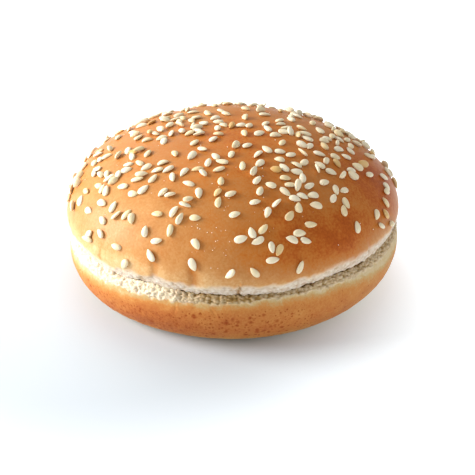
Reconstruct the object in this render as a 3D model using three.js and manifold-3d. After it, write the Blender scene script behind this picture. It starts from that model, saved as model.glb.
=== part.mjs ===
// Sesame burger bun, cut through once: a domed crown with sesame seeds baked on, resting on its heel.
// Millimetres, +Z up. The origin is at the middle of the flat foot, and the front of the bun faces -Y.
import * as THREE from 'three'
import { mergeVertices } from 'three/addons/utils/BufferGeometryUtils.js'
import Module from 'manifold-3d'

// Driving sizes of the whole bun, a usual 4 inch one.
const bunHeight = 47
const heelRadius = 49.9
const crownRadius = 49.8

// The cut: the crown rests a hair above the heel, and both cut faces are flat out to one radius.
const heelCutHeight = 17.5
const crownCutHeight = 17.9
const cutRadius = 46.6

// Crown: a dome down to its widest ring, then a lip that tucks in over the cut and ends in a torn edge.
const crownWideHeight = 22.4
const rimPower = 2.2
const domePower = 1.92
const topLean = -0.9
const topLeanPower = 1.5
const lipTuck = 1.5
const lipPower = 2.4
const lipEdgeLow = 17.7
const lipEdgeHigh = 18.7

// Heel: a flat foot, a side that swells to the widest ring, a crust edge, and a ledge of torn crumb that
// follows a share of the crust edge's rise.
const footRadius = 40
const heelWideHeight = 12
const heelPower = 1.95
const crustEdgeHeight = 15.4
const crustEdgeTuck = 0.35
const crumbShelf = [
  { tuck: 0.8, height: 16.1 },
  { tuck: 1.9, height: 16.9 },
]
const crumbRagged = 0.5
const crumbFollow = 1 / 3
// Where the crust edge runs lower or higher than usual, as places round the bun in radians.
const crustEdgeSwells = [
  { middle: 3.39, power: 2, rise: -0.95 },
  { middle: -1.22, power: 10, rise: 0.9 },
]

// Unevenness: waves round the bun, and shallow lumps on the dome.
const roundWaves = [
  { count: 2, phase: 0.34, size: 0.6 },
  { count: 3, phase: -1.08, size: 0.3 },
  { count: 5, phase: 0.33, size: 0.16 },
]
const tornWaves = [
  { count: 12, phase: -0.42, size: 0.45 },
  { count: 7, phase: 0.6, size: 0.35 },
  { count: 17, phase: 4.0, size: 0.2 },
]
const domeLumps = [
  { size: 0.4, xLength: 16, xPhase: 1.2, yLength: 20, yPhase: 1.17 },
  { size: 0.25, xLength: 9, xPhase: -0.7, yLength: 10.5, yPhase: 2.0 },
]

// Sesame: hulled seeds, thrown from above. Most that fall on bare crust stay, fewer or more in drifts,
// and a seed that lands on one other may lean on it. Shares are of the room that two seeds take up.
const seedCount = 390
const seedStart = 2720
const seedLength = 3.5
const seedLengthSpread = 0.35
const seedWidth = 1.97
const seedWidthSpread = 0.2
const seedThickness = 0.82
const seedSunk = 0.35
const seedLean = 0.5
const touching = 0.9
const stacked = 0.5
const stackedShare = 0.14
const lowestAlong = 0.985
const highestAlong = 0.01
const usualChance = 0.5
const seedDrifts = [
  { x: -6, y: -48, reach: 5.5, change: -0.3 },
  { x: 27, y: -42, reach: 5, change: -0.45 },
  { x: -25, y: -38, reach: 4, change: -0.2 },
  { x: 0, y: -11, reach: 4.5, change: -0.4 },
  { x: -15, y: -11, reach: 5, change: -0.15 },
  { x: 40, y: -16, reach: 5, change: -0.3 },
  { x: 39, y: 1, reach: 4, change: -0.35 },
  { x: 15, y: 10, reach: 6, change: -0.35 },
  { x: 0, y: 20, reach: 7, change: -0.35 },
  { x: -40, y: 1, reach: 4, change: -0.2 },
  { x: 46, y: -15, reach: 5, change: 0.3 },
  { x: 25, y: -8, reach: 8, change: 0.3 },
  { x: 36, y: 19, reach: 7, change: 0.5 },
  { x: -34, y: 19, reach: 6, change: 0.2 },
  { x: -14, y: 1, reach: 7, change: 0.35 },
  { x: -48, y: -9, reach: 5, change: 0.3 },
  { x: -31, y: -20, reach: 5.5, change: 0.3 },
  { x: 12, y: -22, reach: 6, change: 0.45 },
  { x: -37, y: -31, reach: 5, change: 0.35 },
  { x: -12, y: -44, reach: 2.5, change: 0.45 },
  { x: 15, y: -46, reach: 6, change: 0.35 },
  { x: 24, y: -29, reach: 4.5, change: 0.3 },
  { x: -18, y: -27, reach: 5, change: 0.15 },
  { x: -2, y: -28, reach: 5, change: -0.15 },
]

// How finely the two solids are faceted.
const crownSteps = 56
const heelSteps = 72
const domeRings = 12
const lipRings = 2
const sideRings = 6
const weldWithin = 1e-4

const wasm = await Module()
wasm.setup()

const crownCrust = new THREE.MeshStandardMaterial({ color: '#b9743c', roughness: 0.42, metalness: 0 })
const heelCrust = new THREE.MeshStandardMaterial({ color: '#bd7a44', roughness: 0.7, metalness: 0 })

function waves(list, angle) {
  return list.reduce((sum, wave) => sum + wave.size * Math.cos(wave.count * angle + wave.phase), 0)
}

// A number from 0 to 1 that makes a torn edge uneven round the bun.
function torn(angle) {
  return 0.5 + 0.5 * waves(tornWaves, angle)
}

function lumpAt(x, y) {
  return domeLumps.reduce((sum, lump) => {
    const across = Math.sin(x / lump.xLength + lump.xPhase)
    const along = Math.sin(y / lump.yLength + lump.yPhase)
    return sum + lump.size * across * along
  }, 0)
}

// A point of the dome: angle goes round the bun, along goes from 0 at the top to 1 at the widest ring.
function domePoint(angle, along) {
  const bend = (along * Math.PI) / 2
  const out = Math.sin(bend) ** (2 / rimPower)
  const up = Math.max(Math.cos(bend), 0) ** (2 / domePower)
  const radius = (crownRadius + waves(roundWaves, angle)) * out
  const x = radius * Math.cos(angle) + topLean * up ** topLeanPower
  const y = radius * Math.sin(angle)
  const z = crownWideHeight + (bunHeight - crownWideHeight) * up + lumpAt(x, y) * up
  return new THREE.Vector3(x, y, z)
}

// A point of the lip: down goes from 0 at the widest ring to 1 at the lip's torn lower edge.
function lipPoint(angle, down) {
  const edge = lipEdgeLow + (lipEdgeHigh - lipEdgeLow) * torn(angle)
  const radius = crownRadius + waves(roundWaves, angle) - lipTuck * down ** lipPower
  const z = crownWideHeight + (edge - crownWideHeight) * down
  return new THREE.Vector3(radius * Math.cos(angle), radius * Math.sin(angle), z)
}

function ringPoint(angle, radius, height) {
  const uneven = radius * (1 + waves(roundWaves, angle) / heelRadius)
  return new THREE.Vector3(uneven * Math.cos(angle), uneven * Math.sin(angle), height)
}

// A lathe gives the rings and their faces, and each ring's points then move to their uneven places.
// The rings run from the lower end of the axis to its upper end, and each is a function of the angle.
function unevenSolid(rings, steps, bottom, top) {
  const profile = [new THREE.Vector2(0, 0)]
  rings.forEach((ring, index) => profile.push(new THREE.Vector2(1, index + 1)))
  profile.push(new THREE.Vector2(0, rings.length + 1))
  const lathe = new THREE.LatheGeometry(profile, steps)
  lathe.rotateX(Math.PI / 2)
  const place = lathe.attributes.position
  for (let i = 0; i < place.count; i++) {
    const level = Math.round(place.getZ(i))
    const angle = Math.atan2(place.getY(i), place.getX(i))
    let point = new THREE.Vector3(0, 0, top)
    if (level === 0) point = new THREE.Vector3(0, 0, bottom)
    else if (level <= rings.length) point = rings[level - 1](angle)
    place.setXYZ(i, point.x, point.y, point.z)
  }
  return closedSolid(lathe)
}

// Welds a geometry's shared points, drops the faces that shrank to a line, and makes it a solid.
function closedSolid(geometry) {
  geometry.deleteAttribute('normal')
  geometry.deleteAttribute('uv')
  const welded = mergeVertices(geometry, weldWithin)
  const faces = []
  for (let i = 0; i < welded.index.count; i += 3) {
    const corners = [welded.index.getX(i), welded.index.getX(i + 1), welded.index.getX(i + 2)]
    if (new Set(corners).size === 3) faces.push(...corners)
  }
  const mesh = new wasm.Mesh({
    numProp: 3,
    vertProperties: new Float32Array(welded.attributes.position.array),
    triVerts: new Uint32Array(faces),
  })
  return new wasm.Manifold(mesh)
}

function solidGeometry(solid) {
  const mesh = solid.getMesh()
  const geometry = new THREE.BufferGeometry()
  geometry.setAttribute('position', new THREE.BufferAttribute(new Float32Array(mesh.vertProperties), 3))
  geometry.setIndex(new THREE.BufferAttribute(new Uint32Array(mesh.triVerts), 1))
  geometry.computeVertexNormals()
  return geometry
}

// The same numbers on every run: each call gives the next one, from 0 to 1.
function makeDraw(start) {
  let state = start
  return () => {
    state = (state * 1664525 + 1013904223) % 4294967296
    return state / 4294967296
  }
}

// Where the crust is at a place on the dome, with the directions downhill, sideways and out of it.
function domeFrame(angle, along) {
  const step = 0.001
  const down = domePoint(angle, along + step).sub(domePoint(angle, along - step))
  const round = domePoint(angle + step, along).sub(domePoint(angle - step, along))
  const out = down.clone().cross(round).normalize()
  down.normalize()
  return { place: domePoint(angle, along), down, side: out.clone().cross(down), out }
}

function seedChance(x, y) {
  return seedDrifts.reduce((sum, drift) => {
    const apart = (x - drift.x) ** 2 + (y - drift.y) ** 2
    return sum + drift.change * Math.exp(-apart / (2 * drift.reach ** 2))
  }, usualChance)
}

// How far a seed reaches from its middle towards a point: it is nearly an ellipse.
function reachTowards(seed, offset) {
  const lengthwise = offset.dot(seed.axis) / (seed.length / 2)
  const sideways = offset.dot(seed.across) / (seed.width / 2)
  return offset.length() / Math.sqrt(lengthwise ** 2 + sideways ** 2 + 1e-12)
}

// Whether two seeds are closer than a share of the room that they take up together.
function seedsMeet(seed, other, share) {
  const offset = seed.place.clone().sub(other.place)
  if (offset.length() > seedLength + seedLengthSpread) return false
  return offset.length() < share * (reachTowards(seed, offset) + reachTowards(other, offset))
}

// Seeds fall evenly as seen from above. One that lands on a single other seed may lean on it.
function sprinkleSeeds() {
  const draw = makeDraw(seedStart)
  const seeds = []
  while (seeds.length < seedCount) {
    const angle = 2 * Math.PI * draw()
    const reach = Math.sqrt(draw())
    const luck = draw()
    const spin = 2 * Math.PI * draw()
    const size = 2 * draw() - 1
    const slim = 2 * draw() - 1
    const climb = draw()
    const x = crownRadius * reach * Math.cos(angle)
    const y = crownRadius * reach * Math.sin(angle)
    if (luck > seedChance(x, y)) continue
    const along = (Math.asin(reach ** (rimPower / 2)) * 2) / Math.PI
    const frame = domeFrame(angle, Math.min(Math.max(along, highestAlong), lowestAlong))
    const axis = frame.down.clone().multiplyScalar(Math.cos(spin))
    axis.addScaledVector(frame.side, Math.sin(spin))
    const seed = {
      place: frame.place,
      axis,
      across: frame.out.clone().cross(axis),
      out: frame.out,
      length: seedLength + seedLengthSpread * size,
      width: seedWidth + seedWidthSpread * slim,
      leans: false,
    }
    const met = seeds.filter((other) => seedsMeet(seed, other, touching))
    const canLean = met.every((other) => !other.leans && !seedsMeet(seed, other, stacked))
    if (met.length > 1 || !canLean || (met.length === 1 && climb > stackedShare)) continue
    seed.leans = met.length === 1
    seeds.push(seed)
  }
  return seeds
}

// A seed as a low roof over a teardrop: five points round its foot, sunk in the crust, and a short ridge.
function seedSolid(seed) {
  const lift = seed.leans ? seedLean : 0
  const foot = [
    [-0.5, 0],
    [0, -0.47],
    [0.43, -0.28],
    [0.43, 0.28],
    [0, 0.47],
  ]
  const ridge = [
    [-0.12, 0],
    [0.24, 0],
  ]
  const corners = foot.map((corner) => [...corner, -seedSunk])
  corners.push(...ridge.map((corner) => [...corner, seedThickness + lift]))
  const positions = corners.flatMap(([lengthwise, sideways, height]) => {
    const point = seed.place.clone()
    point.addScaledVector(seed.axis, lengthwise * seed.length)
    point.addScaledVector(seed.across, sideways * seed.width)
    point.addScaledVector(seed.out, height)
    return point.toArray()
  })
  const faces = [
    [0, 4, 3],
    [0, 3, 2],
    [0, 2, 1],
    [0, 1, 5],
    [1, 6, 5],
    [1, 2, 6],
    [2, 3, 6],
    [3, 4, 6],
    [4, 5, 6],
    [4, 0, 5],
  ]
  const geometry = new THREE.BufferGeometry()
  geometry.setAttribute('position', new THREE.Float32BufferAttribute(positions, 3))
  geometry.setIndex(faces.flat())
  return closedSolid(geometry)
}

function crownSolid() {
  const rings = [(angle) => ringPoint(angle, cutRadius, crownCutHeight)]
  for (let i = lipRings; i > 0; i--) rings.push((angle) => lipPoint(angle, i / lipRings))
  for (let i = domeRings; i > 0; i--) rings.push((angle) => domePoint(angle, i / domeRings))
  let crown = unevenSolid(rings, crownSteps, crownCutHeight, domePoint(0, 0).z)
  for (const seed of sprinkleSeeds()) crown = crown.add(seedSolid(seed))
  return crown
}

function crustEdgeRise(angle) {
  return crustEdgeSwells.reduce((sum, swell) => {
    return sum + swell.rise * Math.max(Math.cos(angle - swell.middle), 0) ** swell.power
  }, 0)
}

function heelSolid() {
  const rings = [(angle) => ringPoint(angle, footRadius, 0)]
  for (let i = 1; i <= sideRings; i++) {
    const bend = (i / sideRings) * (Math.PI / 2)
    const out = Math.sin(bend) ** (2 / heelPower)
    const up = 1 - Math.max(Math.cos(bend), 0) ** (2 / heelPower)
    const radius = footRadius + (heelRadius - footRadius) * out
    rings.push((angle) => ringPoint(angle, radius, heelWideHeight * up))
  }
  const edgeRadius = heelRadius - crustEdgeTuck
  rings.push((angle) => ringPoint(angle, edgeRadius, crustEdgeHeight + crustEdgeRise(angle)))
  for (const shelf of crumbShelf) {
    const height = (angle) => shelf.height + crustEdgeRise(angle) * crumbFollow - crumbRagged * torn(angle)
    rings.push((angle) => ringPoint(angle, heelRadius - shelf.tuck, height(angle)))
  }
  rings.push((angle) => ringPoint(angle, cutRadius, heelCutHeight))
  return unevenSolid(rings, heelSteps, 0, heelCutHeight)
}

function namedMesh(name, solid, material) {
  const mesh = new THREE.Mesh(solidGeometry(solid), material)
  mesh.name = name
  return mesh
}

const bun = new THREE.Group()
bun.add(namedMesh('bun_heel', heelSolid(), heelCrust))
bun.add(namedMesh('bun_crown', crownSolid(), crownCrust))

export default bun
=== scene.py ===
import math

import bpy
import numpy as np
from mathutils import Matrix, Vector


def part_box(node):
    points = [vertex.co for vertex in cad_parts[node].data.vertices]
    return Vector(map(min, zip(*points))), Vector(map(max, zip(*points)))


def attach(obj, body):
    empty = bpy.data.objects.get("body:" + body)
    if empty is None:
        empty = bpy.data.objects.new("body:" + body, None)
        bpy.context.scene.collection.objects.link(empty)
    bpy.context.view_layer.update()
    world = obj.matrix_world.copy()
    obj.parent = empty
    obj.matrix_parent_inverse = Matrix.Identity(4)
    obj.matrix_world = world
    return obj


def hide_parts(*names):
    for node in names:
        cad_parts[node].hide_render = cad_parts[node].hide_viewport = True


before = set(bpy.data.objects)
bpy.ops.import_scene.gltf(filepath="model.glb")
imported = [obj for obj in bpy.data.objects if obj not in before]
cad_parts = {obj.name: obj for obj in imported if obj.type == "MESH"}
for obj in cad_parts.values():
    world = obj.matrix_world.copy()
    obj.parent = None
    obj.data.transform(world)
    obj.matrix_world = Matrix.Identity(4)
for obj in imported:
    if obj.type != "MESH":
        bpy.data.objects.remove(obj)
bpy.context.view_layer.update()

# Shapes are worked out in millimetres, and turned to metres when a mesh is made.
mm = 0.001

# The form of the bun's solids: waves are (count round the bun, phase, size).
bun = {
    "cutHeight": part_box("bun_heel")[1].z / mm,
    "cutRadius": 46.6,
    "roundWaves": [(2, 0.34, 0.6), (3, -1.08, 0.3), (5, 0.33, 0.16)],
    "tornWaves": [(12, -0.42, 0.45), (7, 0.6, 0.35), (17, 4.0, 0.2)],
}


def waves(waveList, angle):
    return sum(size * np.cos(count * angle + phase) for count, phase, size in waveList)


def ease(low, high, value):  # 0 at low and 1 at high, with soft ends
    share = np.clip((value - low) / (high - low), 0, 1)
    return share * share * (3 - 2 * share)


def easeSteps(steps, value):  # steps are (from, to, gain)
    return sum(gain * ease(low, high, value) for low, high, gain in steps)


def hump(middle, width, value):  # 1 in the middle, falling to 0 on both sides
    return np.exp(-(((value - middle) / width) ** 2))


def turnFrom(middle, angle):  # how far round the bun from one angle to another, -pi to pi
    return np.angle(np.exp(1j * (angle - middle)))


def degreesFrom(middle, angle):  # the same from a place given in degrees, -180 to 180
    return np.degrees(turnFrom(math.radians(middle), angle))


def evenTurns(count):  # so many angles, evenly round
    return np.arange(count) * 2 * math.pi / count


def swells(swellList, angle):  # swells are (degrees round the bun, width in degrees, rise)
    return sum(rise * hump(0, width, degreesFrom(middle, angle)) for middle, width, rise in swellList)


def patches(patchList, x, y):  # patches are (x, y, reach, change)
    return sum(
        change * np.exp(-((x - patchX) ** 2 + (y - patchY) ** 2) / (2 * reach**2))
        for patchX, patchY, reach, change in patchList
    )


# Random fields in space, the same on every run

# Pits and torn grains lie one to a cell, and these are shares of its size.
grainCells = {
    "pitInset": 0.15,  # how far a pit's middle keeps from the walls of its cell
    "pitReach": (0.28, 0.34),  # least, and how much chance adds
    "pitFloor": 0.25,  # how much of a pit is flat
    "stirSize": 1.7,  # a broader field stirs the grains, so that they aren't all alike
    "stir": 0.35,
    "grainReach": 0.85,
}


def scramble(cell, seed):  # one number from 0 to 1 for each cell of space, by mixing its bits
    x, y, z = cell[..., 0], cell[..., 1], cell[..., 2]
    mixed = ((x * 73856093) ^ (y * 19349663) ^ (z * 83492791) ^ (seed * 40503)) & 0xFFFFFFFF
    mixed = ((mixed ^ (mixed >> 15)) * 2246822519) & 0xFFFFFFFF
    mixed = ((mixed ^ (mixed >> 13)) * 3266489917) & 0xFFFFFFFF
    return (mixed ^ (mixed >> 16)) / 2**32


def field(points, size, seed):  # smooth, -1 to 1, with features about size mm across
    place = points / size
    cell = np.floor(place).astype(np.int64)
    part = ease(0, 1, place - cell)
    total = 0
    for corner in np.ndindex(2, 2, 2):
        weight = np.prod(np.where(np.array(corner, bool), part, 1 - part), axis=-1)
        total = total + weight * scramble(cell + np.array(corner), seed)
    return 2 * total - 1


def layered(points, layers):  # layers are (size across, seed, height)
    return sum(height * field(points, size, seed) for size, seed, height in layers)


def holes(points, size, seed, share=1.0):  # round pits about size mm apart: 1 at the middle, 0 outside
    place = points / size
    cell = np.floor(place).astype(np.int64)
    depth = np.zeros(points.shape[:-1])
    inset = grainCells["pitInset"]
    leastReach, moreReach = grainCells["pitReach"]
    for step in np.ndindex(3, 3, 3):
        near = cell + np.array(step) - 1
        chance = np.stack([scramble(near, seed + k) for k in (1, 2, 3)], -1)
        middle = near + inset + (1 - 2 * inset) * chance
        reach = leastReach + moreReach * scramble(near, seed + 4)
        kept = scramble(near, seed + 5) < share
        apart = np.linalg.norm(place - middle, axis=-1)
        depth = np.maximum(depth, kept * (1 - ease(grainCells["pitFloor"], 1, apart / reach)))
    return depth


def crevices(points, size, seed):  # round torn grains about size mm across: 0 on top, 1 between them
    stirSize = size * grainCells["stirSize"]
    stir = np.stack([field(points, stirSize, seed + k) for k in (7, 8, 9)], -1)
    place = points / size + grainCells["stir"] * stir
    cell = np.floor(place).astype(np.int64)
    nearest = np.full(points.shape[:-1], np.inf)
    for step in np.ndindex(3, 3, 3):
        near = cell + np.array(step) - 1
        middle = near + np.stack([scramble(near, seed + k) for k in (1, 2, 3)], -1)
        nearest = np.minimum(nearest, np.linalg.norm(place - middle, axis=-1))
    return np.minimum(nearest / grainCells["grainReach"], 1) ** 2


# Meshes from rings of points


def gridNormals(grid):
    around = np.roll(grid, -1, 1) - np.roll(grid, 1, 1)
    along = np.gradient(grid, axis=0)
    out = np.cross(along, around)
    return out / np.maximum(np.linalg.norm(out, axis=-1, keepdims=True), 1e-9)


def ringFaces(rings, around):  # a closed skin: a first point, the rings in order, and a last point
    last = 1 + rings * around
    k = np.arange(around)
    after = (k + 1) % around
    faces = [(0, 1 + a, 1 + b) for a, b in zip(k.tolist(), after.tolist())]
    for ring in range(rings - 1):
        here = 1 + ring * around
        below = here + around
        quads = np.stack([here + k, below + k, below + after, here + after], -1)
        faces += quads.tolist()
    here = 1 + (rings - 1) * around
    faces += [(here + b, here + a, last) for a, b in zip(k.tolist(), after.tolist())]
    return faces


def closeRings(grid, first, last):  # the rings' points or values between a first and a last one
    return np.concatenate([[first], grid.reshape(-1, *np.shape(first)), [last]])


def joinCopies(copies, faces):  # many copies of one small skin as a single mesh
    count = len(copies[0])
    starts = range(0, count * len(copies), count)
    return np.concatenate(copies), [tuple(start + i for i in face) for start in starts for face in faces]


def makePiece(name, points, faces, values, material):
    mesh = bpy.data.meshes.new(name)
    mesh.from_pydata((points * mm).tolist(), [], faces)
    for key, value in values.items():
        stored = mesh.attributes.new(key, "FLOAT", "POINT")
        stored.data.foreach_set("value", np.asarray(value, np.float32))
    mesh.shade_smooth()
    mesh.materials.append(material)
    piece = bpy.data.objects.new(name, mesh)
    bpy.context.scene.collection.objects.link(piece)
    return piece


# Colours and materials: pattern sizes and depths are in mm, and a surface holds its shader's settings


def linear(hexColour):  # sRGB hex to the linear colour that a shader takes
    channels = [int(hexColour[i : i + 2], 16) / 255 for i in (1, 3, 5)]
    turned = [c / 12.92 if c <= 0.04045 else ((c + 0.055) / 1.055) ** 2.4 for c in channels]
    return (*turned, 1.0)


def addNode(tree, kind, settings=None, links=None):  # settings: its properties and sockets' values
    node = tree.nodes.new(kind)
    for name, value in (settings or {}).items():
        if isinstance(name, str) and hasattr(node, name):
            setattr(node, name, value)
        else:
            node.inputs[name].default_value = value
    for socket, source in (links or {}).items():
        tree.links.new(source, node.inputs[socket])
    return node


def newMaterial(name):
    material = bpy.data.materials.new(name)
    material.use_nodes = True
    material.node_tree.nodes.clear()
    return material, material.node_tree


def setStops(ramp, stops):  # stops are (place, sRGB hex)
    elements = ramp.color_ramp.elements
    while len(elements) < len(stops):
        elements.new(1)
    for element, (place, hexColour) in zip(elements, stops):
        element.position = place
        element.color = linear(hexColour)


# Bread crust from pale to well baked, broken up by broad mottling and fine freckles. Where the crust is
# torn away its crumb shows, and painted shade (the crumbShade colour, mixed in by the paintedShade share)
# darkens it down in the hollows.
def breadMaterial(name, look):
    material, tree = newMaterial(name)
    place = addNode(tree, "ShaderNodeTexCoord").outputs["Object"]
    bake, crumb, paintedShade = [
        addNode(tree, "ShaderNodeAttribute", {"attribute_name": key}).outputs["Fac"]
        for key in ("bake", "crumb", "paintedShade")
    ]
    settings = {"Scale": 1 / (look["mottleSize"] * mm), "Detail": 4.0, "Roughness": 0.6}
    mottle = addNode(tree, "ShaderNodeTexNoise", settings, {"Vector": place})
    settings = {"Scale": 1 / (look["freckleSize"] * mm), "Detail": 3.0, "Roughness": look["freckleBreak"]}
    freckle = addNode(tree, "ShaderNodeTexNoise", settings, {"Vector": place})
    # noise of 0 to 1 turned to plus or minus its strength, and added to the bake
    settings = {"operation": "MULTIPLY_ADD", 1: look["mottle"] * 2, 2: -look["mottle"] - look["freckle"]}
    broad = addNode(tree, "ShaderNodeMath", settings, {0: mottle.outputs["Fac"]})
    settings = {"operation": "MULTIPLY_ADD", 1: look["freckle"] * 2}
    links = {0: freckle.outputs["Fac"], 2: broad.outputs[0]}
    fine = addNode(tree, "ShaderNodeMath", settings, links)
    uneven = addNode(tree, "ShaderNodeMath", {"operation": "ADD"}, {0: bake, 1: fine.outputs[0]})
    ramp = addNode(tree, "ShaderNodeValToRGB", {}, {"Fac": uneven.outputs[0]})
    setStops(ramp, look["stops"])
    crust = ramp.outputs["Color"]
    if "pits" in look:
        crust = pitCrust(tree, look["pits"], place, crust)
    # painted shade: the crumb is mixed towards a darker brown by the paintedShade share
    settings = {"data_type": "RGBA", 6: linear(look["crumb"]), 7: linear(look["crumbShade"])}
    bread = addNode(tree, "ShaderNodeMix", settings, {0: paintedShade})
    links = {0: crumb, 6: crust, 7: bread.outputs[2]}
    colour = addNode(tree, "ShaderNodeMix", {"data_type": "RGBA"}, links)
    settings = {"Scale": 1 / (look["skinSize"] * mm), "Detail": look["skinDetail"]}
    skin = addNode(tree, "ShaderNodeTexNoise", settings, {"Vector": place})
    settings = {"Strength": 1.0, "Distance": look["skinDepth"] * mm}
    relief = addNode(tree, "ShaderNodeBump", settings, {"Height": skin.outputs["Fac"]})
    links = {"Base Color": colour.outputs[2], "Normal": relief.outputs["Normal"]}
    shader = addNode(tree, "ShaderNodeBsdfPrincipled", look["surface"], links)
    addNode(tree, "ShaderNodeOutputMaterial", {}, {"Surface": shader.outputs[0]})
    return material


# Round pits in two sizes, each as wide as chance and the crowd there let it be
def pitCrust(tree, look, place, crust):
    crowd = addNode(tree, "ShaderNodeAttribute", {"attribute_name": "crowd"}).outputs["Fac"]
    settings = {"Scale": 1 / (look["stirSize"] * mm), "Detail": 2.0}
    wobble = addNode(tree, "ShaderNodeTexNoise", settings, {"Vector": place})
    settings = {"operation": "MULTIPLY_ADD", 1: [look["stir"] * mm] * 3}
    links = {0: wobble.outputs["Color"], 2: place}
    stirred = addNode(tree, "ShaderNodeVectorMath", settings, links)
    spots = []
    for size in look["sizes"]:
        links = {"Vector": stirred.outputs[0]}
        cells = addNode(tree, "ShaderNodeTexVoronoi", {"Scale": 1 / (size * mm)}, links)
        chance = addNode(tree, "ShaderNodeSeparateColor", {}, {"Color": cells.outputs["Color"]})
        settings = {"operation": "MULTIPLY_ADD", 2: look["leastReach"]}
        reach = addNode(tree, "ShaderNodeMath", settings, {0: chance.outputs[0], 1: crowd})
        links = {0: cells.outputs["Distance"], 1: reach.outputs[0]}
        share = addNode(tree, "ShaderNodeMath", {"operation": "DIVIDE"}, links)
        settings = {"From Min": look["rim"], "From Max": look["bottom"], "To Max": look["strength"]}
        spot = addNode(tree, "ShaderNodeMapRange", settings, {"Value": share.outputs[0]})
        spots.append(spot.outputs[0])
    either = addNode(tree, "ShaderNodeMath", {"operation": "MAXIMUM"}, {0: spots[0], 1: spots[1]})
    settings = {"data_type": "RGBA", 7: linear(look["colour"])}
    pitted = addNode(tree, "ShaderNodeMix", settings, {0: either.outputs[0], 6: crust})
    return pitted.outputs[2]


glazedCrust = {
    "stops": [
        (0.0, "#e8d9bd"), (0.2, "#dbba8c"), (0.35, "#d1a46e"), (0.5, "#c58d53"),
        (0.65, "#bc7c41"), (0.8, "#bd702b"), (0.9, "#b25a1a"), (1.0, "#a24c12"),
    ],
    "crumb": "#e6dccd",
    "crumbShade": "#b08a5e",
    "mottleSize": 5.0,
    "mottle": 0.15,
    "freckleSize": 0.7,
    "freckle": 0.2,
    "freckleBreak": 0.6,
    "skinSize": 0.45,
    "skinDepth": 0.03,
    "skinDetail": 2.0,
    "surface": {
        "Roughness": 0.42,
        "IOR": 1.45,
        "Specular IOR Level": 0.18,
        "Subsurface Weight": 0.08,
        "Subsurface Scale": 0.8 * mm,
        "Subsurface Radius": (1.0, 0.45, 0.2),
    },
}


# Egg-washed wheat crust, baked: the wash dries to a thin even gloss over golden to orange-brown skin,
# so the eye sees a soft sheen, faint mottling, and a matte pale rim where the wash ended.
def glazedBunCrust():
    return breadMaterial("egg_washed_baked_crust", glazedCrust)


panCrust = {
    "stops": [
        (0.0, "#ccb78e"), (0.2, "#c3a26a"), (0.5, "#c68542"), (0.8, "#b96c31"), (1.0, "#a35424"),
    ],
    "pits": {
        "colour": "#984004",
        "sizes": (1.7, 0.9),
        "strength": 0.92,
        "stir": 0.6,
        "stirSize": 1.2,
        "rim": 0.64,
        "bottom": 0.2,
        "leastReach": 0.001,  # never nothing, as a node divides by it
    },
    "crumb": "#f0dfc3",
    "crumbShade": "#9b7a43",
    "mottleSize": 3.8,
    "mottle": 0.3,
    "freckleSize": 0.6,
    "freckle": 0.3,
    "freckleBreak": 0.65,
    "skinSize": 0.5,
    "skinDepth": 0.05,
    "skinDetail": 3.0,
    "surface": {
        "Roughness": 0.62,
        "IOR": 1.4,
        "Specular IOR Level": 0.3,
        "Subsurface Weight": 0.2,
        "Subsurface Scale": 1.0 * mm,
        "Subsurface Radius": (1.0, 0.6, 0.35),
    },
}


# Unwashed crust baked against the pan: dry and matte, pricked with small dark pits, and above it a torn
# white crumb whose holes, slit and far side carry painted shade, darker and warmer than their walls.
def panBakedCrust():
    return breadMaterial("pan_baked_crust_and_torn_crumb", panCrust)


sesameLook = {
    "stops": [(0.0, "#eee5cc"), (0.3, "#e5d2a6"), (0.6, "#d9b06c"), (1.0, "#b0702f")],
    "grainSize": 0.5,
    "grain": 0.1,
    "surface": {
        "Roughness": 0.38,
        "IOR": 1.47,
        "Subsurface Weight": 0.12,
        "Subsurface Scale": 0.4 * mm,
        "Subsurface Radius": (1.0, 0.7, 0.45),
    },
}


# Hulled white sesame, baked on: ivory and a little see-through, so its edges glow and its face
# has a faint oily light, with a few seeds toasted gold.
def hulledSesame():
    material, tree = newMaterial("hulled_sesame_baked")
    look = sesameLook
    place = addNode(tree, "ShaderNodeTexCoord").outputs["Object"]
    tone = addNode(tree, "ShaderNodeAttribute", {"attribute_name": "tone"}).outputs["Fac"]
    settings = {"Scale": 1 / (look["grainSize"] * mm), "Detail": 2.0}
    grain = addNode(tree, "ShaderNodeTexNoise", settings, {"Vector": place})
    settings = {"operation": "MULTIPLY_ADD", 1: look["grain"]}
    uneven = addNode(tree, "ShaderNodeMath", settings, {0: grain.outputs["Fac"], 2: tone})
    ramp = addNode(tree, "ShaderNodeValToRGB", {}, {"Fac": uneven.outputs[0]})
    setStops(ramp, look["stops"])
    links = {"Base Color": ramp.outputs["Color"]}
    shader = addNode(tree, "ShaderNodeBsdfPrincipled", look["surface"], links)
    addNode(tree, "ShaderNodeOutputMaterial", {}, {"Surface": shader.outputs[0]})
    return material


flourLook = {"surface": {"Base Color": linear("#f8e8cf"), "Roughness": 0.9}}


# Dusting flour that stayed on the skin: a dead matte, creamy white.
def bakedFlour():
    material, tree = newMaterial("baked_on_flour")
    shader = addNode(tree, "ShaderNodeBsdfPrincipled", flourLook["surface"])
    addNode(tree, "ShaderNodeOutputMaterial", {}, {"Surface": shader.outputs[0]})
    return material


# The crown: glazed dome, pale lip, torn edge and the cut face below

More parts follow.
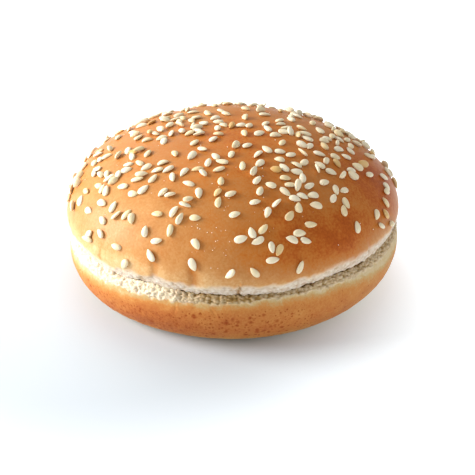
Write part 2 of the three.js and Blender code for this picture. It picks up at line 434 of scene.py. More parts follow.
crown = {
    "height": 47.0,
    "radius": 49.8,
    "wideHeight": 22.4,
    "rimPower": 2.2,
    "domePower": 1.92,
    "topLean": -0.9,
    "leanPower": 1.5,
    "lipTuck": 1.5,
    "lipPower": 2.4,
    "lipEdge": (17.7, 18.7),
    # Broad lumps: height, then length and phase from side to side and from front to back
    "lumps": [(0.4, 16, 1.2, 20, 1.17), (0.25, 9, -0.7, 10.5, 2.0)],
    "around": 1150,
    "domeRings": 48,
    "lipRings": 30,
    "cutRings": 7,
    "cutCrowding": 1.6,  # crowds the cut face's rings towards the lip
    "cutHeight": bun["cutHeight"] + 0.15,  # just clear of the heel
    # Uneven skin, all over and on the lip alone up to a height above its edge
    "skinLayers": [(9, 10, 0.12), (4, 11, 0.06), (1.7, 12, 0.025)],
    "lipLayers": [(2.2, 13, 0.12)],
    "lipLayersEnd": (2.0, 5.5),
    # Soft folds in the skirt: degrees round the bun, width, depth, lowest and highest point
    "folds": [
        (-116, 1.5, 0.34, 19.5, 30), (-108.5, 0.7, -0.14, 20, 25), (-103, 1.5, 0.42, 19.5, 30),
        (-69, 0.3, 0.1, 26, 31), (-40, 0.7, 0.2, 20, 27), (5, 0.9, 0.25, 20, 29),
        (38, 0.6, 0.22, 20, 27), (74, 1.0, 0.3, 20, 30), (118, 0.7, 0.22, 20, 28),
        (152, 0.9, 0.28, 20, 30), (196, 0.6, 0.2, 20, 27), (222, 0.8, 0.2, 20, 28),
    ],
    # How a fold strays as it climbs: radians, mm for each radian of its swing, phase
    "foldWander": [(0.008, 2.3, 1), (0.003, 0.9, 2)],
    "foldSides": (0.7, 1.8),  # how far its two sides reach, in widths
    "foldEnds": (1.5, 5),  # how long its lower and upper end are
    "foldPaintedShade": (0.6, 0.8),  # painted shade in the troughs, as bake added for each mm of depth, and how wide, in widths
    # Where the lip hangs lower: degrees, width, drop
    "lipSags": [(-84, 21, 0.7)],
    # How far above the edge the crust is torn away, and where more or less: degrees, width, rise
    "peel": 2.8,
    "peelLayers": [(3.5, 15, 0.7), (1.2, 18, 0.45)],
    "peelSwells": [
        (-46, 20, 1.3), (-8, 22, 1.2), (-78, 7, -0.5), (-98, 9, -0.5), (-122, 10, 0.4),
        (60, 20, 0.6), (150, 25, 0.5),
    ],
    "peelEnd": (-0.8, 0.6),  # where the torn relief ends, above the peel line
    "crumbEnd": (-1.2, 0.9),  # where the crumb's colour ends
    # Torn grains: size and seed, how deep it is between them, and how much painted shade darkens it there
    "coarseGrain": (1.1, 20),
    "coarseDepth": 0.26,
    "coarseShade": 0.55,
    "fineGrain": (0.5, 21),
    "fineDepth": 0.12,
    "fineShade": 0.35,
    "tornDepth": 0.08,
    # The ragged rim of the torn edge, and how far up it reaches
    "ragLayers": [(2.0, 16, 0.42), (0.8, 17, 0.34)],
    "ragDrop": 0.1,
    "ragReach": 1.4,
    # The cut face: size and seed of its holes, their depth, and the painted shade on it, which darkens
    # the slit under the lip
    "cutHoles": (1.9, 30),
    "cutHoleDepth": 0.3,
    "cutShade": 0.35,
    # The one crack in the lip, with a ridge along one side, and painted shade down inside it
    "crack": {
        "angle": -88.3,
        "width": 0.55,
        "depth": 0.5,
        "shade": 0.7,
        "wander": (0.25, 2.1),  # mm aside, and radians for each mm up
        "end": (3.6, 5.8),
        "ridgeAside": 0.8,
        "ridgeWidth": 0.45,
        "ridgeHeight": 0.3,
    },
    # How the bake deepens above the lip: from, to, gain
    "leastBake": 0.12,
    "topBake": 0.75,
    "bakeSteps": [(1.2, 4, 0.3), (3, 9.5, 0.22), (4, 14, 0.08)],
    "bakeLayers": [(14, 43, 0.04)],
    "paleLayers": [(6, 41, 0.8), (1.8, 42, 0.4)],  # how uneven the pale skirt's edge is
    # Where the pale skirt reaches higher: degrees, width, rise
    "paleSkirt": [(-26, 22, 1.0)],
    # Where the oven browned it more or less, and where painted light lightens or darkens it: x, y, reach,
    # change
    # (-12, 11) and (30, 14) are painted sheen; (46, -12) is painted shade on the side away from the key
    # light
    # (-40, -18) and (-27, -36) are partly paler bake and partly painted highlight where the key light
    # falls;
    "bakeAndLightPatches": [
        (18, -45, 7.5, 0.18), (33, -39, 7.5, 0.24), (41, -16, 12, 0.1), (20, -28, 7, -0.1),
        (3, -8, 13, 0.13), (30, 14, 14, -0.06), (-40, -18, 16, -0.12), (-27, -36, 11, -0.15),
        (46, -12, 9, 0.13), (-6, -44, 8, -0.05), (-12, 11, 9, -0.13),
    ],
    "patchStart": (1.2, 6),  # above the lip
}


def domePoint(angle, along):  # along is 0 at the top of the dome and 1 at its widest
    bend = along * math.pi / 2
    out = np.sin(bend) ** (2 / crown["rimPower"])
    up = np.maximum(np.cos(bend), 0) ** (2 / crown["domePower"])
    radius = (crown["radius"] + waves(bun["roundWaves"], angle)) * out
    x = radius * np.cos(angle) + crown["topLean"] * up ** crown["leanPower"]
    y = radius * np.sin(angle)
    lump = sum(
        size * np.sin(x / xLength + xPhase) * np.sin(y / yLength + yPhase)
        for size, xLength, xPhase, yLength, yPhase in crown["lumps"]
    )
    z = crown["wideHeight"] + (crown["height"] - crown["wideHeight"]) * up + lump * up
    return np.stack([x, y, z], -1)


def alongAt(share):  # how far along the dome a place is that lies this share of its radius out
    return math.asin(share ** (crown["rimPower"] / 2)) * 2 / math.pi


def lipEdgeHeight(angle):
    low, high = crown["lipEdge"]
    share = 0.5 + 0.5 * waves(bun["tornWaves"], angle)
    return low + (high - low) * share - swells(crown["lipSags"], angle)


def lipPoint(angle, down):  # down is 0 where the crown is widest and 1 at the torn edge
    radius = crown["radius"] + waves(bun["roundWaves"], angle)
    radius = radius - crown["lipTuck"] * down ** crown["lipPower"]
    z = crown["wideHeight"] + (lipEdgeHeight(angle) - crown["wideHeight"]) * down
    return np.stack([radius * np.cos(angle), radius * np.sin(angle), z], -1)


def underPoint(angle, inward):  # inward is 0 at the torn edge and 1 in the middle
    edge = lipPoint(angle, np.ones_like(angle))
    level = ease(0, 1 - bun["cutRadius"] / (crown["radius"] - crown["lipTuck"]), inward)
    z = edge[..., 2] + (crown["cutHeight"] - edge[..., 2]) * level
    return np.stack([edge[..., 0] * (1 - inward), edge[..., 1] * (1 - inward), z], -1)


def crownForm():  # rings over the dome, down the lip and in under it, and which of them are under it
    turns = evenTurns(crown["around"])
    levels = np.linspace(0, 1, crown["domeRings"] + 1)[1:]
    downs = np.linspace(0, 1, crown["lipRings"] + 1)[1:]
    inwards = np.linspace(0, 1, crown["cutRings"] + 1)[1:-1] ** crown["cutCrowding"]
    dome = domePoint(*np.meshgrid(turns, levels))
    lip = lipPoint(*np.meshgrid(turns, downs))
    under = underPoint(*np.meshgrid(turns, inwards))
    grid = np.concatenate([dome, lip, under])
    isUnder = np.zeros(grid.shape[:2])
    isUnder[len(dome) + len(lip) :] = 1
    return grid, np.broadcast_to(turns, grid.shape[:2]), isUnder


def crownFolds(angle, z):  # how deep the soft folds are, and the painted shade in their troughs
    nearSide, farSide = crown["foldSides"]
    lowerEnd, upperEnd = crown["foldEnds"]
    shadeGain, broader = crown["foldPaintedShade"]
    deep = 0
    shade = 0
    for degrees, width, depth, low, high in crown["folds"]:
        bend = math.radians(degrees)
        for swing, length, phase in crown["foldWander"]:
            bend = bend + swing * np.sin(z / length + phase * degrees)
        aside = turnFrom(bend, angle) * crown["radius"]
        reach = ease(low, low + lowerEnd, z) * (1 - ease(high - upperEnd, high, z))
        shape = hump(0, np.where(aside < 0, nearSide * width, farSide * width), aside)
        deep = deep + depth * reach * shape
        # painted shade: the troughs are browned where the folds are deep
        shade = shade + shadeGain * depth * reach * hump(0, broader * width, aside)
    return deep, shade


def crownCrack(angle, z, above):  # 1 in the middle of the crack, and 1 on the ridge beside it
    look = crown["crack"]
    swing, beat = look["wander"]
    aside = turnFrom(math.radians(look["angle"]), angle) * crown["radius"]
    aside = aside + swing * np.sin(z * beat)
    ridge = hump(look["ridgeAside"], look["ridgeWidth"], aside)
    reach = 1 - ease(*look["end"], above)
    return reach * hump(0, look["width"], aside), reach * ridge


def makeCrown():
    grid, angle, isUnder = crownForm()
    skin = 1 - isUnder
    out = gridNormals(grid)
    above = grid[..., 2] - lipEdgeHeight(angle)  # how far each point is above the lip's torn edge
    sag = swells(crown["lipSags"], angle)
    peel = crown["peel"] + sag + layered(grid, crown["peelLayers"]) + swells(crown["peelSwells"], angle)
    tornPart = skin * (1 - ease(*crown["peelEnd"], above - peel))
    lipPart = skin * (1 - ease(*crown["lipLayersEnd"], above))
    coarse = crevices(grid, *crown["coarseGrain"])
    fine = crevices(grid, *crown["fineGrain"])
    folds, foldPaintedShade = crownFolds(angle, grid[..., 2])
    crack, ridge = crownCrack(angle, grid[..., 2], above)

    height = layered(grid, crown["skinLayers"]) - folds
    height = height + lipPart * layered(grid, crown["lipLayers"])
    tornDepth = crown["tornDepth"] + crown["coarseDepth"] * coarse + crown["fineDepth"] * fine
    height = height - tornPart * tornDepth
    height = height - isUnder * crown["cutHoleDepth"] * holes(grid, *crown["cutHoles"])
    height = height - skin * (crown["crack"]["depth"] * crack - crown["crack"]["ridgeHeight"] * ridge)
    grid = grid + out * height[..., None]
    # the torn edge itself is ragged, up and down
    rag = layered(grid, crown["ragLayers"]) - crown["ragDrop"]
    grid[..., 2] += skin * (1 - ease(0, crown["ragReach"], above)) * rag

    # painted shade: darker between the torn grains, down in the crack and on the cut face under the lip
    paintedShade = tornPart * (crown["coarseShade"] * coarse + crown["fineShade"] * fine)
    paintedShade = paintedShade + crown["crack"]["shade"] * skin * crack + crown["cutShade"] * isUnder
    crumb = np.maximum(isUnder, skin * (1 - ease(*crown["crumbEnd"], above - peel)))
    rise = above - sag + layered(grid, crown["paleLayers"]) - swells(crown["paleSkirt"], angle)
    bake = crown["leastBake"] + easeSteps(crown["bakeSteps"], rise)
    # painted light: some patches pale the crust as highlight and sheen, one darkens it as shade
    patched = patches(crown["bakeAndLightPatches"], grid[..., 0], grid[..., 1])
    bake = bake + patched * ease(*crown["patchStart"], rise)
    bake = bake + layered(grid, crown["bakeLayers"]) + foldPaintedShade

    points = closeRings(grid, domePoint(0.0, 0.0), (0, 0, crown["cutHeight"]))
    values = {
        "bake": closeRings(np.clip(bake, 0, 1), crown["topBake"], 0),
        "crumb": closeRings(crumb, 0, 1),
        "paintedShade": closeRings(np.clip(paintedShade, 0, 1), 0, 0),
    }
    faces = ringFaces(len(grid), crown["around"])
    piece = makePiece("crown_crust", points, faces, values, glazedBunCrust())
    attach(piece, "root")
    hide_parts("bun_crown")


# The heel: flat foot, pitted pan-baked side, crust edge, and torn crumb up to the cut face

heel = {
    "radius": 49.9,
    "footRadius": 40,
    "wideHeight": 12,
    "sidePower": 1.95,
    "edgeTuck": 0.35,
    "edgeHeight": 15.4,
    # Where the crust edge runs lower or higher: radians round the bun, sharpness, rise
    "edgeSwells": [(3.39, 2, -0.95), (-1.22, 10, 0.9)],
    # The torn bank above the crust edge: how far in, and the share of the way up to the crown's lip
    "bank": [(0.45, 0.35), (0.8, 0.72), (1.6, 1.0)],
    "bankOverlap": 0.25,  # how far its top tucks up behind the lip
    "bankHollow": 0.08,
    "around": 1150,
    "footRings": 4,
    "sideRings": 26,
    "upperRings": 12,
    "crumbRings": 40,
    "cutRings": 4,
    "skinLayers": [(4, 51, 0.08), (1.3, 52, 0.06)],
    "skinStart": (0.2, 1.5),  # above the flat foot
    # Where the crust gives way to open crumb: layers that fray the edge, and its softness
    "frayLayers": [(1.5, 53, 0.6), (0.7, 57, 0.4)],
    "frayDrop": 0.1,
    "fraySoft": 0.4,
    # Open crumb: size and seed of its grains and holes, with the holes' share, and how deep they are
    "coarseGrain": (0.95, 80),
    "coarseDepth": 0.55,
    "fineGrain": (0.45, 90),
    "fineDepth": 0.25,
    "holes": (1.7, 64, 0.7),
    "holeDepth": 0.45,
    "crumbRise": 0.3,
    "crumbLayers": [(2.2, 59, 0.2), (1.2, 60, 0.12)],
    # Short cracks where the crust edge was pulled: degrees, lean, lowest and highest point
    "creases": [
        (-109.4, 0.25, 11, 15.5), (-95.6, -0.3, 11, 14.8), (-92.4, 0.2, 8.5, 13.5),
        (-72, 0.5, 11.5, 15), (-20, -0.6, 11, 15), (35, 0.7, 11, 15), (88, -0.5, 10.5, 15),
        (160, 0.6, 11, 15), (-150, -0.4, 11, 14.5),
    ],
    "crease": {
        "depth": 0.11,
        "width": 0.3,
        "wander": (0.4, 1.3),  # degrees aside, and radians for each mm up
        "end": 1,
        "ridgeAside": 0.6,
        "ridgeWidth": 0.35,
        "ridgeShare": 0.3,
    },
    # How densely the pan pricked it, and where more: degrees, width, share
    "leastPricked": 0.3,
    "footPricked": 0.3,
    "pricked": [(-97, 42, 0.65), (-150, 25, 0.3), (70, 40, 0.5), (160, 30, 0.4)],
    "prickedLayers": [(6, 58, 1.0)],
    "prickedSoft": (-1.3, 0.5),
    "prickedStart": (1.0, 4.0),  # below the crust edge
    "prickedBelt": 0.6,
    "belt": (7, 4),  # middle and width of the belt that the pan baked most
    # How the bake deepens below the crust edge: from, to, gain
    "leastBake": 0.16,
    "footBake": 0.6,
    "bakeSteps": [(-0.2, 1.2, 0.22), (0.3, 3.4, 0.3)],
    "bakeLayers": [(9, 56, 0.1)],
    "bakeBelt": 0.1,
    "footPaintedLight": [(5, 0.5, 0.4)],  # painted light: it pales again down to the foot, lifting the shade near the floor
    "paleLayers": [(4, 54, 0.7), (1.2, 55, 0.3)],  # how uneven the pale band's edge is
    # Where the side is darker or paler: degrees, width, change
    "browned": [(-24, 40, -0.2), (-112, 20, 0.1), (182, 40, -0.2), (100, 30, 0.06)],
    # Where the pale band below the cut reaches lower: degrees, width, drop
    "paleBand": [(-14, 30, 1.6), (-130, 26, 0.7)],
    # Where the crumb is hollow and painted darker, as shade on the side away from the key light: middle
    # in degrees, and how far to each side it fades
    "hollowAngle": -55,
    "hollowFade": (62, 42),
    # Where more painted shade darkens the crumb, as the lip's shadow: degrees, width, change
    "shaded": [(-90, 16, 0.22)],
    # Painted shade between the grains: strength and sharpness
    "coarseShade": (0.9, 1.2),
    "fineShade": (0.3, 2),
    # Painted shade of the crumb, and how much the grains add to it, where it is hollow and elsewhere
    "hollowShade": 0.44,
    "hollowGrain": 0.6,
    "openShade": 0.04,
    "openGrain": 0.42,
    # Painted shade inside the slit under the lip, more where the crumb is hollow, and how far out from
    # the cut it starts
    "slitShade": 0.35,
    "slitHollow": 0.65,
    "slitStart": (1.8, 0.9),
}


def heelPoint(angle, radius, height):
    uneven = radius * (1 + waves(bun["roundWaves"], angle) / heel["radius"])
    return np.stack([uneven * np.cos(angle), uneven * np.sin(angle), height], -1)


def hollowAndShadeShare(angle):  # 1 where the crumb is hollow and painted darker, as shade away from the key light, 0 elsewhere
    return ease(*heel["hollowFade"], np.abs(degreesFrom(heel["hollowAngle"], angle)))


def heelForm():  # rings over the foot, up the side and bank, and in over the cut face
    turns = evenTurns(heel["around"])
    flat = np.zeros_like(turns)
    foot = heel["footRadius"]
    wide = heel["wideHeight"]
    rings = []
    for share in np.linspace(0, 1, heel["footRings"] + 2)[1:-1]:
        rings.append(heelPoint(turns, foot * share, flat))
    for bend in np.linspace(0, math.pi / 2, heel["sideRings"]):
        out = math.sin(bend) ** (2 / heel["sidePower"])
        up = 1 - max(math.cos(bend), 0) ** (2 / heel["sidePower"])
        rings.append(heelPoint(turns, foot + (heel["radius"] - foot) * out, flat + wide * up))
    edge = heel["edgeHeight"] + sum(
        rise * np.maximum(np.cos(turns - middle), 0) ** power
        for middle, power, rise in heel["edgeSwells"]
    )
    for share in np.linspace(0, 1, heel["upperRings"] + 1)[1:]:
        radius = heel["radius"] - heel["edgeTuck"] * share**2
        rings.append(heelPoint(turns, radius, wide + (edge - wide) * share))
    crustRings = len(rings)

    top = lipEdgeHeight(turns) + heel["bankOverlap"] - heel["bankHollow"] * hollowAndShadeShare(turns)
    stations = [(heel["radius"] - heel["edgeTuck"], edge)]
    for tuck, share in heel["bank"]:
        stations.append((heel["radius"] - tuck, edge + (top - edge) * share))
    stations.append((bun["cutRadius"], flat + bun["cutHeight"]))
    for place in np.linspace(0, len(stations) - 1, heel["crumbRings"] + 1)[1:]:
        step = min(int(place), len(stations) - 2)
        mix = place - step
        radius = stations[step][0] * (1 - mix) + stations[step + 1][0] * mix
        level = stations[step][1] * (1 - mix) + stations[step + 1][1] * mix
        rings.append(heelPoint(turns, radius, level))
    for share in np.linspace(1, 0, heel["cutRings"] + 1)[1:-1]:
        rings.append(heelPoint(turns, bun["cutRadius"] * share, flat + bun["cutHeight"]))
    grid = np.stack(rings)
    aboveEdge = np.arange(len(grid))[:, None] >= crustRings
    return grid, np.broadcast_to(turns, grid.shape[:2]), edge, aboveEdge


def heelCreases(angle, z):  # how deep the short cracks are, less the ridge beside each
    look = heel["crease"]
    swing, beat = look["wander"]
    deep = 0
    for degrees, lean, low, high in heel["creases"]:
        bend = np.radians(degrees + lean * (z - low) + swing * np.sin(z * beat + degrees))
        aside = turnFrom(bend, angle) * heel["radius"]
        reach = ease(low, low + look["end"], z) * (1 - ease(high - look["end"], high, z))
        ridge = look["ridgeShare"] * hump(look["ridgeAside"], look["ridgeWidth"], aside)
        deep = deep + look["depth"] * reach * (hump(0, look["width"], aside) - ridge)
    return deep


def makeHeel():
    grid, angle, edge, aboveEdge = heelForm()
    out = -gridNormals(grid)
    z = grid[..., 2]
    below = edge - z  # how far below the crust edge
    standing = ease(*heel["skinStart"], z)  # 0 on the flat foot
    frayed = layered(grid, heel["frayLayers"]) - below - heel["frayDrop"]
    openCrumb = ease(-heel["fraySoft"], heel["fraySoft"], frayed)
    crust = 1 - openCrumb
    coarse = crevices(grid, *heel["coarseGrain"])
    fine = crevices(grid, *heel["fineGrain"])
    distance = np.hypot(grid[..., 0], grid[..., 1])
    slitFar, slitNear = heel["slitStart"]
    inside = ease(bun["cutRadius"] + slitFar, bun["cutRadius"] + slitNear, distance) * aboveEdge

    # where the pan's pits are, which the material draws
    patchy = layered(grid, heel["prickedLayers"]) + heel["prickedBelt"] * hump(*heel["belt"], z)
    crowd = (heel["leastPricked"] + swells(heel["pricked"], angle)) * ease(*heel["prickedSoft"], patchy)
    crowd = crowd * ease(*heel["prickedStart"], below) * standing * crust

    relief = heel["crumbRise"] + layered(grid, heel["crumbLayers"])
    relief = relief - heel["coarseDepth"] * coarse - heel["fineDepth"] * fine
    relief = relief - heel["holeDepth"] * holes(grid, *heel["holes"])
    height = crust * (standing * layered(grid, heel["skinLayers"]) - heelCreases(angle, z))
    height = height + openCrumb * relief
    grid = grid + out * height[..., None]
    grid[..., 2] = np.maximum(grid[..., 2], 0)

    z = grid[..., 2]
    fall = below + layered(grid, heel["paleLayers"]) - swells(heel["paleBand"], angle)
    # painted light: paler down to the foot, which lifts the shade near the floor
    bake = heel["leastBake"] + easeSteps(heel["bakeSteps"], fall) - easeSteps(heel["footPaintedLight"], z)
    bake = bake + layered(grid, heel["bakeLayers"]) + heel["bakeBelt"] * hump(*heel["belt"], z)
    bake = bake + swells(heel["browned"], angle)
    # painted shade: the crumb darkens between its grains, on the side away from the key light, under the
    # lip's shadow and in the slit
    coarseShade, coarsePower = heel["coarseShade"]
    fineShade, finePower = heel["fineShade"]
    grains = coarseShade * coarse**coarsePower + fineShade * fine**finePower
    side = hollowAndShadeShare(angle)
    hollow = side * (heel["hollowShade"] + heel["hollowGrain"] * grains)
    hollow = hollow + (1 - side) * (heel["openShade"] + heel["openGrain"] * grains)
    hollow = hollow + swells(heel["shaded"], angle)
    slit = heel["slitShade"] + heel["slitHollow"] * side
    paintedShade = openCrumb * (hollow * (1 - inside) + slit * inside)

    points = closeRings(grid, (0, 0, 0), (0, 0, bun["cutHeight"]))
    values = {
        "bake": closeRings(np.clip(bake, 0, 1), heel["footBake"], 0),
        "crumb": closeRings(openCrumb, 0, 1),
        "paintedShade": closeRings(np.clip(paintedShade, 0, 1), 0, 0),
        "crowd": closeRings(np.clip(crowd, 0, 1), heel["footPricked"], 0),
    }
    faces = [face[::-1] for face in ringFaces(len(grid), heel["around"])]
    piece = makePiece("heel_crust", points, faces, values, panBakedCrust())
    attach(piece, "root")
    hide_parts("bun_heel")


# Sesame: the same throw as the solids have, so that each seed lies where its solid one does

sesame = {
    "count": 390,
    "start": 2720,
    "length": (3.5, 0.35),  # usual, and how far it strays
    "width": (1.97, 0.2),
    "thickness": 1.05,
    "thicknessRange": (0.85, 1.12),
    "sunk": 0.14,
    "lean": 0.5,
    "touching": 0.9,
    "stacked": 0.5,
    "stackedShare": 0.14,
    "alongRange": (0.01, 0.985),
    "usualChance": 0.5,
    # Drifts and bare patches: x, y, reach, and how much they change the chance that a seed stays
    "drifts": [
        (-6, -48, 5.5, -0.3), (27, -42, 5, -0.45), (-25, -38, 4, -0.2), (0, -11, 4.5, -0.4),
        (-15, -11, 5, -0.15), (40, -16, 5, -0.3), (39, 1, 4, -0.35), (15, 10, 6, -0.35),
        (0, 20, 7, -0.35), (-40, 1, 4, -0.2), (46, -15, 5, 0.3), (25, -8, 8, 0.3), (36, 19, 7, 0.5),
        (-34, 19, 6, 0.2), (-14, 1, 7, 0.35), (-48, -9, 5, 0.3), (-31, -20, 5.5, 0.3),
        (12, -22, 6, 0.45), (-37, -31, 5, 0.35), (-12, -44, 2.5, 0.45), (15, -46, 6, 0.35),
        (24, -29, 4.5, 0.3), (-18, -27, 5, 0.15), (-2, -28, 5, -0.15),
    ],
    "rings": 11,
    "sides": 14,
    "tipPower": 0.68,
    "bluntPower": 0.47,
    "facePower": 0.8,
    # How a seed lies, in degrees
    "rollSpread": 10,
    "pitchSpread": 3,
    "onEdgeShare": 0.14,
    "onEdgeRoll": (30, 60),
    "leanPitch": (14, 26),
    "leanRoll": 12,
    # How its ends droop and turn aside, in shares of its length: usual, and how far it strays
    "droop": (0.03, 0.03),
    "twist": (0, 0.03),
    # Its tone, 0 ivory to 1 brown
    "toneSpread": 0.14,
    "toastedShare": 0.05,
    "toastedTone": (0.3, 0.65),
    "tipTone": 0.12,
    "tipEnd": (-0.5, -0.2),
    "looksSeed": 5,
}


def domeFrame(angle, along):  # a place on the crust, with downhill, sideways and outward directions
    step = 0.001
    down = domePoint(angle, along + step) - domePoint(angle, along - step)
    around = domePoint(angle + step, along) - domePoint(angle - step, along)
    out = np.cross(down, around)
    out = out / np.linalg.norm(out)
    down = down / np.linalg.norm(down)
    return domePoint(angle, along), down, np.cross(out, down), out


def reachTowards(seed, offset):
    lengthwise = offset @ seed["axis"] / (seed["length"] / 2)
    sideways = offset @ seed["across"] / (seed["width"] / 2)
    return np.linalg.norm(offset) / math.sqrt(lengthwise**2 + sideways**2 + 1e-12)


def seedsMeet(seed, other, share):
    offset = seed["place"] - other["place"]
    apart = np.linalg.norm(offset)
    if apart > sum(sesame["length"]):
        return False
    return apart < share * (reachTowards(seed, offset) + reachTowards(other, offset))


def throwSeeds():  # chance follows a plain rule here, which the solids' source has too
    state = sesame["start"]
    leastAlong, mostAlong = sesame["alongRange"]
    seeds = []
    while len(seeds) < sesame["count"]:
        draws = []
        for _ in range(7):
            state = (state * 1664525 + 1013904223) % 2**32
            draws.append(state / 2**32)
        turn, spread, luck, spin, size, slim, climb = draws
        angle = 2 * math.pi * turn
        reach = math.sqrt(spread)
        x = crown["radius"] * reach * math.cos(angle)
        y = crown["radius"] * reach * math.sin(angle)
        if luck > sesame["usualChance"] + patches(sesame["drifts"], x, y):
            continue
        place, down, side, out = domeFrame(angle, min(max(alongAt(reach), leastAlong), mostAlong))
        axis = down * math.cos(2 * math.pi * spin) + side * math.sin(2 * math.pi * spin)
        seed = {
            "place": place,
            "axis": axis,
            "across": np.cross(out, axis),
            "out": out,
            "length": sesame["length"][0] + sesame["length"][1] * (2 * size - 1),
            "width": sesame["width"][0] + sesame["width"][1] * (2 * slim - 1),
        }
        met = [other for other in seeds if seedsMeet(seed, other, sesame["touching"])]
        canLean = all(not m["leansOn"] and not seedsMeet(seed, m, sesame["stacked"]) for m in met)
        if len(met) > 1 or not canLean or (met and climb > sesame["stackedShare"]):
            continue
        seed["leansOn"] = met
        seeds.append(seed)
    return seeds


def seedSkin():  # one seed of unit size: x from its tip to its blunt end, y across, z up
    bend = np.linspace(0, math.pi, sesame["rings"] + 2)[1:-1]
    s = -np.cos(bend)
    outline = (1 + s) ** sesame["tipPower"] * (1 - s) ** sesame["bluntPower"]
    outline = outline / outline.max()
    turn = evenTurns(sesame["sides"])
    across = outline[:, None] * np.cos(turn) / 2
    up = outline[:, None] ** sesame["facePower"] * np.sin(turn) / 2
    along = np.repeat(s[:, None] / 2, sesame["sides"], 1)
    grid = np.stack([along, across, up], -1)
    return closeRings(grid, (-0.5, 0, 0), (0.5, 0, 0))


def turned(first, second, degrees):  # two directions turned in their own plane
    c, s = math.cos(math.radians(degrees)), math.sin(math.radians(degrees))
    return first * c + second * s, second * c - first * s


def makeSeeds():
    rng = np.random.default_rng(sesame["looksSeed"])
    skin = seedSkin()
    fromMiddle = (2 * skin[:, 0]) ** 2
    tipTone = sesame["tipTone"] * (1 - ease(*sesame["tipEnd"], skin[:, 0]))
    copies = []
    tones = []
    for seed in throwSeeds():
        axis, across, out = seed["axis"], seed["across"], seed["out"]
        thickness = sesame["thickness"] * rng.uniform(*sesame["thicknessRange"])
        roll = rng.normal(0, sesame["rollSpread"])
        if rng.random() < sesame["onEdgeShare"]:
            roll = rng.choice([-1, 1]) * rng.uniform(*sesame["onEdgeRoll"])
        pitch = rng.normal(0, sesame["pitchSpread"])
        lift = 0
        if seed["leansOn"]:
            toOther = seed["leansOn"][0]["place"] - seed["place"]
            pitch = rng.uniform(*sesame["leanPitch"]) * (1 if toOther @ axis > 0 else -1)
            roll = sesame["leanRoll"] * (1 if toOther @ across > 0 else -1)
            lift = sesame["lean"]
        axis, out = turned(axis, out, pitch)
        across, out = turned(across, out, roll)
        flat, steep = math.cos(math.radians(roll)), math.sin(math.radians(roll))
        half = math.hypot(thickness / 2 * flat, seed["width"] / 2 * steep)
        middle = seed["place"] + seed["out"] * (half - sesame["sunk"] + lift)
        size = skin * (seed["length"], seed["width"], thickness)
        size[:, 2] -= rng.normal(*sesame["droop"]) * seed["length"] * fromMiddle
        size[:, 1] += rng.normal(*sesame["twist"]) * seed["length"] * fromMiddle
        copies.append(middle + size[:, :1] * axis + size[:, 1:2] * across + size[:, 2:] * out)
        tone = abs(rng.normal(0, sesame["toneSpread"]))
        if rng.random() < sesame["toastedShare"]:
            tone = rng.uniform(*sesame["toastedTone"])
        tones.append(np.clip(tone + tipTone, 0, 1))
    points, faces = joinCopies(copies, ringFaces(sesame["rings"], sesame["sides"]))
    piece = makePiece("sesame_seeds", points, faces, {"tone": np.concatenate(tones)}, hulledSesame())
    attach(piece, "root")
    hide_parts("bun_crown")


# Flour: specks that stuck to the skin, in a few little showers and some on their own

flour = {
    # Showers: x, y, reach, count
    "showers": [
        (-4, -44, 3, 22), (-1, -36, 2.5, 12), (9, -39, 2.5, 8), (18, -38, 3, 8), (-9, -47, 3, 10),
    ],
    "loose": 90,
    "edge": 0.985,  # no further out than this share of the crown's radius
    "topClear": 0.02,  # and no nearer to the very top of the dome
    "size": (0.07, 0.18),
    "stretch": (0.7, 1.4),
    "shoulder": (0.7, 0.75),  # how wide and how high, in sizes, its upper ring is
    "sunk": 0.1,
    "sides": 7,
    "seed": 9,
}


def makeFlour():
    rng = np.random.default_rng(flour["seed"])
    spots = [rng.normal((x, y), reach) for x, y, reach, count in flour["showers"] for _ in range(count)]
    for _ in range(flour["loose"]):
        reach = crown["radius"] * flour["edge"] * math.sqrt(rng.random())
        turn = rng.uniform(0, 2 * math.pi)
        spots.append((reach * math.cos(turn), reach * math.sin(turn)))
    wide, high = flour["shoulder"]
    turn = evenTurns(flour["sides"])
    copies = []
    for x, y in spots:
        share = min(math.hypot(x, y) / crown["radius"], flour["edge"])
        place, down, side, out = domeFrame(math.atan2(y, x), max(alongAt(share), flour["topClear"]))
        size = rng.uniform(*flour["size"])
        stretch = rng.uniform(*flour["stretch"])
        rim = np.outer(np.cos(turn), down) * stretch + np.outer(np.sin(turn), side)
        foot = place - out * flour["sunk"]
        upper = place + rim * size * wide + out * size * high
        copies.append(np.concatenate([[place + out * size], upper, foot + rim * size, [foot]]))
    points, faces = joinCopies(copies, ringFaces(2, flour["sides"]))
    piece = makePiece("flour_specks", points, faces, {}, bakedFlour())
    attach(piece, "root")


# The studio: camera at the photograph's angle, white sweep, one soft key from the left

studio = {
    "elevation": 25.7,
    "distance": 317.3,
    "aimHeight": 24.04,
    "focalPixels": 1037,
    "imageSize": 475,
    "aimPixel": (231.86, 196.45),  # where the middle of the bun lands in the image
    "roll": -0.98,
    "sensor": 36,
    "clip": (0.01, 100),  # metres
    "lightAim": (0, 0, 20),
    "key": {"place": (-470, 0, 195), "size": 320, "power": 4.75},
    "fill": {"place": (150, -470, 60), "size": 300, "power": 0.3},
    "overhead": {"place": (0, 220, 500), "size": 420, "power": 0.6},
    "rim": {"place": (-220, 400, 300), "size": 420, "power": 0.6},
    "sky": 0.45,
    "paperHalf": 2000,
    "paperHeight": -0.05,
    # a bluish grey paper, which cancels the warm light the bun bounces onto it, so its shade looks
    # neutral
    "paper": {"Base Color": linear("#c5cdd3"), "Roughness": 0.9, "Emission Color": (1, 1, 1, 1)},
    # How far from its middle the paper's painted glow rises, and how strong it is beside the bun and far
    # from it: a painted shadow halo round the bun
    "paintedGlowMiddle": (-42, -18, 0),
    "paintedGlow": {
        "interpolation_type": "SMOOTHSTEP",
        "From Min": 48 * mm,
        "From Max": 125 * mm,
        "To Min": 0.04,
        "To Max": 0.95,
    },
}


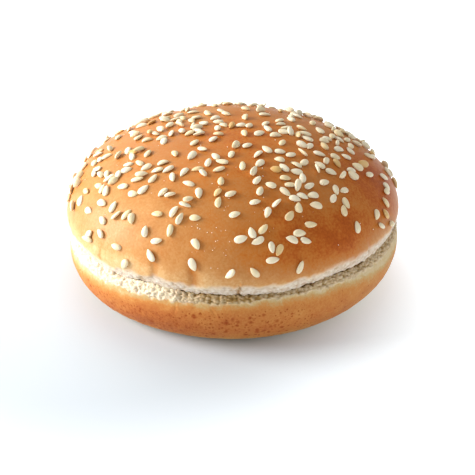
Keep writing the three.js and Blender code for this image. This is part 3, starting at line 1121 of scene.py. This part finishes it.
def makeCamera():
    tilt = math.radians(studio["elevation"])
    back = Vector((0, -math.cos(tilt), math.sin(tilt)))
    right = Vector((1, 0, 0))
    up = right.cross(-back)
    roll = math.radians(studio["roll"])
    right, up = right * math.cos(roll) + up * math.sin(roll), up * math.cos(roll) - right * math.sin(roll)
    centre = studio["imageSize"] / 2
    aimX = (centre - studio["aimPixel"][0]) / studio["focalPixels"]
    aimY = (studio["aimPixel"][1] - centre) / studio["focalPixels"]
    forward = (-back + right * aimX + up * aimY).normalized()
    right = forward.cross(up).normalized()
    up = right.cross(forward)
    place = Vector((0, 0, studio["aimHeight"])) + back * studio["distance"]
    facing = Matrix((right, up, -forward)).transposed().to_4x4()
    data = bpy.data.cameras.new("camera")
    data.sensor_width = studio["sensor"]
    data.lens = studio["focalPixels"] * studio["sensor"] / studio["imageSize"]
    data.clip_start, data.clip_end = studio["clip"]
    camera = bpy.data.objects.new("camera", data)
    camera.matrix_world = Matrix.Translation(place * mm) @ facing
    bpy.context.scene.collection.objects.link(camera)
    bpy.context.scene.camera = camera


def addLight(name):
    look = studio[name]
    data = bpy.data.lights.new(name, "AREA")
    data.shape = "DISK"
    data.size = look["size"] * mm
    data.energy = look["power"]
    light = bpy.data.objects.new(name, data)
    light.location = Vector(look["place"]) * mm
    aim = Vector(studio["lightAim"]) * mm - light.location
    light.rotation_euler = aim.to_track_quat("-Z", "Y").to_euler()
    bpy.context.scene.collection.objects.link(light)
    return light


# Matte white paper with a painted glow: its emission is low beside the bun and high far from it, which
# paints a soft shadow round the bun and lights the bun from below.
def paintedGlowPaper():
    material, tree = newMaterial("white_paper_with_painted_glow")
    place = addNode(tree, "ShaderNodeTexCoord").outputs["Object"]
    settings = {"operation": "DISTANCE", 1: [value * mm for value in studio["paintedGlowMiddle"]]}
    away = addNode(tree, "ShaderNodeVectorMath", settings, {0: place})
    # painted glow: the paper emits light, least beside the bun, as a painted shadow halo
    paintedGlow = addNode(tree, "ShaderNodeMapRange", studio["paintedGlow"], {"Value": away.outputs["Value"]})
    links = {"Emission Strength": paintedGlow.outputs[0]}
    shader = addNode(tree, "ShaderNodeBsdfPrincipled", studio["paper"], links)
    addNode(tree, "ShaderNodeOutputMaterial", {}, {"Surface": shader.outputs[0]})
    return material


def makeStudio():
    scene = bpy.context.scene
    scene.view_settings.view_transform = "Standard"  # colours come out as they are given
    world = bpy.data.worlds.new("white_room")
    world.use_nodes = True
    tree = world.node_tree
    tree.nodes.clear()
    sky = addNode(tree, "ShaderNodeBackground", {"Color": (1, 1, 1, 1), "Strength": studio["sky"]})
    addNode(tree, "ShaderNodeOutputWorld", {}, {"Surface": sky.outputs[0]})
    scene.world = world
    for name in ("key", "rim"):
        addLight(name)
    for name in ("overhead", "fill"):
        addLight(name).visible_glossy = False  # these two only lift the shade, and leave no shine

    half = studio["paperHalf"]
    signs = [(-1, -1), (1, -1), (1, 1), (-1, 1)]
    corners = [(x * half, y * half, studio["paperHeight"]) for x, y in signs]
    floor = makePiece("floor", np.array(corners, float), [(0, 1, 2, 3)], {}, paintedGlowPaper())


makeCamera()
makeStudio()
print("camera and studio are set")
makeHeel()
print("heel is made")
makeCrown()
print("crown is made")
makeSeeds()
print("sesame is sprinkled")
makeFlour()
print("flour is dusted")
